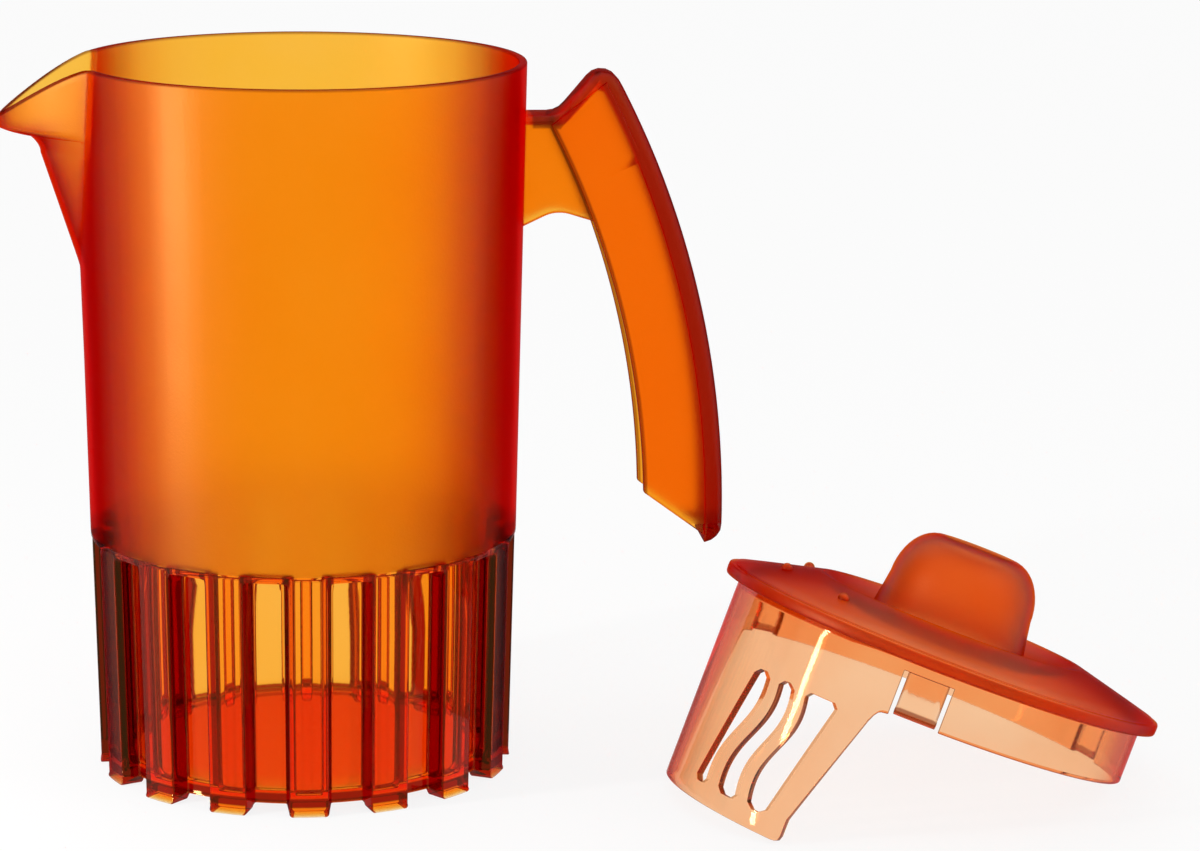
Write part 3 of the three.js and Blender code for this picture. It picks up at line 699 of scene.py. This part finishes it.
def node(tree, kind, settings, values, output=0):
    """Adds one node: its settings first, then a number, a colour or a link on each named input. Gives back
    one of its outputs, if it has any."""
    made = tree.nodes.new(kind)
    for name, value in settings.items():
        setattr(made, name, value)
    for name, value in values.items():
        if isinstance(value, Wire):
            tree.links.new(value.socket, made.inputs[name])
        else:
            made.inputs[name].default_value = value
    return Wire(tree, made.outputs[output]) if made.outputs else None


def step(value, low, high):
    """0 below a low mark and 1 above a high one, in a straight line between them."""
    return node(value.tree, "ShaderNodeMapRange", {}, {"Value": value, "From Min": low, "From Max": high})


def blend(factor, low, high):
    """A mix of two colours, each given as red, green and blue or as a link."""
    low, high = (colour if isinstance(colour, Wire) else (*colour, 1) for colour in (low, high))
    return node(factor.tree, "ShaderNodeMix", {"data_type": "RGBA"}, {"Factor": factor, 6: low, 7: high}, 2)


def along(place, way):
    """How far a place lies along a direction."""
    return node(place.tree, "ShaderNodeVectorMath", {"operation": "DOT_PRODUCT"},
                {0: place, 1: tuple(way)}, "Value")


def from_axis(x, y):
    """The distance from an axis, by the two coordinates across it."""
    return (x * x + y * y).join("SQRT", 0.0)


def about_jug(place):
    """A place's three coordinates from the middle of the jug's foot."""
    return [node(place.tree, "ShaderNodeSeparateXYZ", {}, {0: place}, k) - float(JUG_FOOT[k])
            for k in range(3)]


def beyond_floor(x, y):
    """0 over the jug's floor and 1 outside it."""
    return step(from_axis(x, y), (FLOOR_EDGE - 0.5) * MM, (FLOOR_EDGE + 0.5) * MM)


def fluted_painted_shade(x, y, z, frosted):
    """Where painted shade darkens the base: 1 along both edges of every rib, by the angle about the jug's
    axis counted in ribs, and 1 round the floor's rim, by the height."""
    count = y.join("ARCTAN2", x) * (RIB_COUNT / (2 * math.pi)) - RIB_PHASE * RIB_COUNT / 360
    apart = (count - count.join("ROUND", 0.0)).join("ABSOLUTE", 0.0) * (360 / RIB_COUNT)
    begun = step(apart, RIB_ANGLE - 0.6, RIB_ANGLE - 0.4)
    passed = step(apart, RECESS_ANGLE + 0.15, RECESS_ANGLE + 0.35)
    edges = (begun - passed) * (1 - frosted)
    rim = (step(z, FOOT_HEIGHT * MM, (FOOT_HEIGHT + 0.4) * MM)
           - step(z, (FLOOR_HEIGHT + 0.1) * MM, (FLOOR_HEIGHT + 0.5) * MM))
    return edges.join("MAXIMUM", rim) * beyond_floor(x, y)


def handle_painted_shade(x, z):
    """Where painted shade darkens the handle: 1 on the grip's spine and the cheeks' thin edges, by the
    distance from the bend's centre, and on the neck's roof up to the peak, by the height over its slope."""
    bend = from_axis(x - float(GRIP_CENTRE[0]) * MM, z - float(GRIP_CENTRE[1]) * MM)
    face, edge = GRIP_RADIUS - SPINE_THICKNESS, GRIP_RADIUS - GRIP_DEPTH
    spine = step(bend, (face - 0.6) * MM, (face + 0.6) * MM)
    thin = step(bend, (edge - 0.8) * MM, (edge - 0.5) * MM) - step(bend, (edge + 0.6) * MM, (edge + 1.1) * MM)
    slope = (x - slope_foot() * MM).join("MAXIMUM", 0.0) * math.tan(PEAK_SLOPE)
    roof = step(z - slope, (NECK_TOP - 3.5) * MM, (NECK_TOP - 2.9) * MM)
    outside = step(x, (RIM_RADIUS + 0.8) * MM, (RIM_RADIUS + 1.4) * MM)
    return (thin.join("MAXIMUM", roof) * outside).join("MAXIMUM", spine)


def lip_painted_shade(x, z):
    """Where painted shade darkens the lip: 1 along the lip, by the height to which it falls at the spout, but
    not on the handle's peak, which stands as high."""
    share = ((-1 * x - LIP_START * MM) * (1 / ((SPOUT_REACH - LIP_START) * MM))).join("MAXIMUM", 0.0)
    over = z + share.join("POWER", LIP_SHARE) * (LIP_DROP * MM)
    near = step(over, (JUG_HEIGHT - 0.8) * MM, (JUG_HEIGHT - 0.3) * MM)
    return near * (1 - step(x, (RIM_RADIUS + 8.5) * MM, (RIM_RADIUS + 10.5) * MM))


def jug_painted_shade(place, frosted):
    """How strongly painted shade darkens the jug's skin towards dark red, from 0 to 1: on the ribs' edges,
    the floor's rim, the handle and the lip, standing in for the dark that light shows through edges and thick
    plastic.
    """
    x, y, z = about_jug(place)
    return fluted_painted_shade(x, y, z, frosted) + handle_painted_shade(x, z).join("MAXIMUM", lip_painted_shade(x, z)) * 0.75


def on_floor(place, frosted):
    """1 on the jug's floor and 0 elsewhere."""
    x, y, _ = about_jug(place)
    return (1 - beyond_floor(x, y)) * (1 - frosted)


def lid_painted_shade(place, frosted):
    """How strongly painted shade darkens the lid's skin: most on the edges cut through the skirt and on the
    catches' ridges, which alone lie between or beyond the skirt's two faces below the cover."""
    apart = node(place.tree, "ShaderNodeVectorMath", {"operation": "SUBTRACT"},
                 {0: place, 1: tuple(LID_CENTRE)})
    radius = from_axis(along(apart, LID_UPHILL), along(apart, LID_ACROSS))
    inner, outer = SKIRT_RADIUS - SKIRT_WALL, SKIRT_RADIUS
    past_inner = step(radius, (inner + 0.1) * MM, (inner + 0.3) * MM)
    near_outer = step(radius, (outer - 0.3) * MM, (outer - 0.1) * MM)
    past_outer = step(radius, (outer + 0.1) * MM, (outer + 0.4) * MM)
    return (past_inner - near_outer + past_outer) * (1 - frosted) * 0.9


# What both plastics share
FROST_ROUGHNESS = 0.276
# Painted shade: the dark red that the masks of edges and thick plastic mix into the skin's colour
PAINTED_SHADE_RED = (0.12, 0.0, 0.0)
CLEAR_FACE = (1.0, 0.97, 0.9)
# Painted slant shade on the jug's floor, lighter than the one elsewhere
FLOOR_SLANT_SHADE = (0.85, 0.3, 0.02)


def moulded_plastic(name, level, way, painted_shade_of, tint, slant_shades, slants, gloss, body, floor_of=None):
    """See-through plastic of one moulding: polished below a level and frosted above it, measured along a
    direction of the frame. The body deepens in colour with thickness. The skin is a mix of two: a face, and
    an edge that takes a painted slant shade, a colour mostly darker than the face, where it is seen at a
    slant, sooner where it is frosted. Both are darkened by painted shade towards dark red where a mask marks
    edges and thick plastic, and tint, roughness and grain change from place to place. The slant shades,
    painted limb colours, and the slants are given for the polished side and for the frosted side."""
    material = bpy.data.materials.new(name)
    tree = bare_tree(material)
    place = node(tree, "ShaderNodeTexCoord", {}, {}, "Object")
    frosted = step(along(place, way), (level - 0.2) * MM, (level + 0.2) * MM)
    cloud = node(tree, "ShaderNodeTexNoise", {}, {"Vector": place, "Scale": 34.0, "Detail": 3.0})
    speck = node(tree, "ShaderNodeTexNoise", {}, {"Vector": place, "Scale": 1700.0, "Detail": 2.0})

    facing = node(tree, "ShaderNodeLayerWeight", {}, {"Blend": 0.5}, "Facing")
    low, high = (polished + frosted * (blasted - polished) for polished, blasted in zip(*slants))
    slant = node(tree, "ShaderNodeMapRange", {"interpolation_type": "SMOOTHSTEP"}, {
        "Value": facing, "From Min": low, "From Max": high})
    # Painted slant shade: the limb colour that the skin takes where it is seen at a slant, a lighter one on
    # the floor
    slant_shade = blend(frosted, *slant_shades)
    if floor_of:
        slant_shade = blend(floor_of(place, frosted), slant_shade, FLOOR_SLANT_SHADE)
    plain = blend(cloud * 0.5 + frosted * 0.5, CLEAR_FACE, tint)
    # Painted shade: a mask of edges and thick plastic that darkens the skin towards dark red
    depth = painted_shade_of(place, frosted)

    rough = 0.03 + cloud * 0.02 + frosted * (FROST_ROUGHNESS + cloud * 0.108)
    bump = node(tree, "ShaderNodeBump", {}, {
        "Strength": frosted * 0.5 + 0.02, "Distance": 0.08 * MM, "Height": speck})
    # The edge shader carries the painted slant shade, and both shaders take the painted shade of the masks
    face, edge = (node(tree, "ShaderNodeBsdfPrincipled", {"distribution": "MULTI_GGX"}, {
        "Base Color": blend(depth, colour, PAINTED_SHADE_RED), "Roughness": rough, "Normal": bump, "IOR": bend,
        "Transmission Weight": 1.0, "Specular Tint": (*gloss, 1)})
        for colour, bend in ((plain, 1.36), (slant_shade, 1.012)))
    skin = node(tree, "ShaderNodeMixShader", {}, {0: slant, 1: face, 2: edge})
    inside = node(tree, "ShaderNodeVolumeAbsorption", {}, {"Color": (*body, 1), "Density": 950.0})
    node(tree, "ShaderNodeOutputMaterial", {}, {"Surface": skin, "Volume": inside})
    return material


def dress(thing, finish):
    """Gives a piece its one finish."""
    thing.data.materials.clear()
    thing.data.materials.append(finish)


# Stage

def seen_rays(tree):
    """1 for the rays that see the surround: directly, mirrored or through plastic."""
    direct, mirrored, through = (node(tree, "ShaderNodeLightPath", {}, {}, f"Is {kind} Ray")
                                 for kind in ("Camera", "Glossy", "Transmission"))
    return direct.join("MAXIMUM", mirrored).join("MAXIMUM", through)


def floor_finish():
    """A plain white floor. The camera, gloss and see-through plastic read it nearly white, and it keeps
    a faint shadow."""
    material = bpy.data.materials.new("studio_floor")
    tree = bare_tree(material)
    matt = node(tree, "ShaderNodeBsdfDiffuse", {}, {"Color": (0.92, 0.92, 0.92, 1)})
    white = node(tree, "ShaderNodeEmission", {}, {"Color": (1, 1, 1, 1), "Strength": 1.0})
    mixed = node(tree, "ShaderNodeMixShader", {}, {0: seen_rays(tree) * 0.85, 1: matt, 2: white})
    node(tree, "ShaderNodeOutputMaterial", {}, {"Surface": mixed})
    return material


def studio():
    """A pale floor, a plain white surround and two soft lamps."""
    mesh = bpy.data.meshes.new("studio_floor")
    side = 6.0
    corners = [(-side, -side, 0), (side, -side, 0), (side, side, 0), (-side, side, 0)]
    mesh.from_pydata(corners, [], [(0, 1, 2, 3)])
    mesh.materials.append(floor_finish())
    floor = bpy.data.objects.new("studio_floor", mesh)
    bpy.context.scene.collection.objects.link(floor)

    world = bpy.data.worlds.new("studio")
    tree = bare_tree(world)
    level = 0.8 + seen_rays(tree) * 0.2
    sky = node(tree, "ShaderNodeBackground", {}, {"Color": (1, 1, 1, 1), "Strength": level})
    node(tree, "ShaderNodeOutputWorld", {}, {"Surface": sky})
    bpy.context.scene.world = world

    soft_lamp("strip", (-0.454, -0.153, 0.13), (0.03, 0.24), 1.8)
    soft_lamp("fill", (0.9, -0.5, 0.9), (0.5, 0.5), 1.5)


def soft_lamp(name, place, size, power):
    """A rectangular lamp that is turned towards the middle of the jug."""
    lamp = bpy.data.lights.new(name, "AREA")
    lamp.shape, lamp.size, lamp.size_y, lamp.energy = "RECTANGLE", *size, power
    holder = bpy.data.objects.new(name, lamp)
    holder.location = place
    aim = Vector((-0.07, 0.02, 0.12)) - Vector(place)
    holder.rotation_euler = aim.to_track_quat("-Z", "Y").to_euler()
    bpy.context.scene.collection.objects.link(holder)


def camera():
    """The photograph's viewpoint: about a metre in front, looking 13 degrees down."""
    lens = bpy.data.cameras.new("photo_view")
    lens.sensor_width, lens.lens = FILM_WIDTH, FILM_WIDTH * FOCAL_PIXELS / PHOTO_WIDTH
    lens.clip_start, lens.clip_end = 0.05, 20
    eye = bpy.data.objects.new("photo_view", lens)
    level = Vector((math.sin(VIEW_YAW), math.cos(VIEW_YAW), 0))
    ahead = level * math.cos(VIEW_PITCH) - Vector((0, 0, math.sin(VIEW_PITCH)))
    right = Vector((math.cos(VIEW_YAW), -math.sin(VIEW_YAW), 0))
    up = right.cross(ahead)
    right, up = (right * math.cos(VIEW_ROLL) + up * math.sin(VIEW_ROLL),
                 up * math.cos(VIEW_ROLL) - right * math.sin(VIEW_ROLL))
    turn = Matrix((right, up, -ahead)).transposed().to_4x4()
    eye.matrix_world = Matrix.Translation(VIEWPOINT) @ turn
    bpy.context.scene.collection.objects.link(eye)
    bpy.context.scene.camera = eye


# Assembly

camera()
studio()
# Each finish carries painted shade on edges and thick parts, and painted slant shade in its limb colours
jug_plastic = moulded_plastic(
    "jug_plastic", FROST_HEIGHT, (0, 0, 1), jug_painted_shade, tint=(1.0, 0.85, 0.15),
    slant_shades=((0.3, 0.005, 0.0), (0.64, 0.06, 0.0)), slants=((0.3, 0.76), (0.12, 0.7)),
    gloss=(1.0, 0.55, 0.15), body=(0.998, 0.73, 0.04), floor_of=on_floor)
lid_plastic = moulded_plastic(
    "lid_plastic", float(LID_CENTRE @ LID_AXIS) / MM - 0.1, LID_AXIS, lid_painted_shade, tint=(0.92, 0.32, 0.01),
    slant_shades=((0.95, 0.62, 0.2), (0.72, 0.38, 0.0)), slants=((0.45, 0.94), (0.25, 0.88)),
    gloss=(1.0, 0.5, 0.2), body=(0.985, 0.79, 0.57))

jug = fused(pole_piece("jug_moulding", jug_net()), [grip_band()] + grip_cheeks() + neck_sides())
dress(jug, jug_plastic)
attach(jug, "jug")
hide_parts("barrel", "pouring_spout", "fluted_base", "jug_floor",
            "handle_neck", "grip_spine", "grip_cheek_front", "grip_cheek_back")

lid = fused(pole_piece("lid_moulding", lid_net(), **LID_PLACE), [lid_pip(angle) for angle in PIP_ANGLES])
openings = [catch_window(angle) for angle in CATCH_ANGLES] + [slot_cutter(index) for index in range(3)]
lid = fused(lid, openings, "DIFFERENCE")
dress(lid, lid_plastic)
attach(lid, "lid")
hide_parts("lid_cover", "lid_knob", "lid_skirt", "strainer")

for index, body in enumerate(("catch_front", "catch_side", "catch_back")):
    tongue = snap_catch(index)
    dress(tongue, lid_plastic)
    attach(tongue, body)
    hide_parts(f"snap_catch_{index + 1}")

scene = bpy.context.scene
scene.view_settings.view_transform = "Standard"
scene.cycles.max_bounces = 24
scene.cycles.transmission_bounces = 24
scene.cycles.glossy_bounces = 12
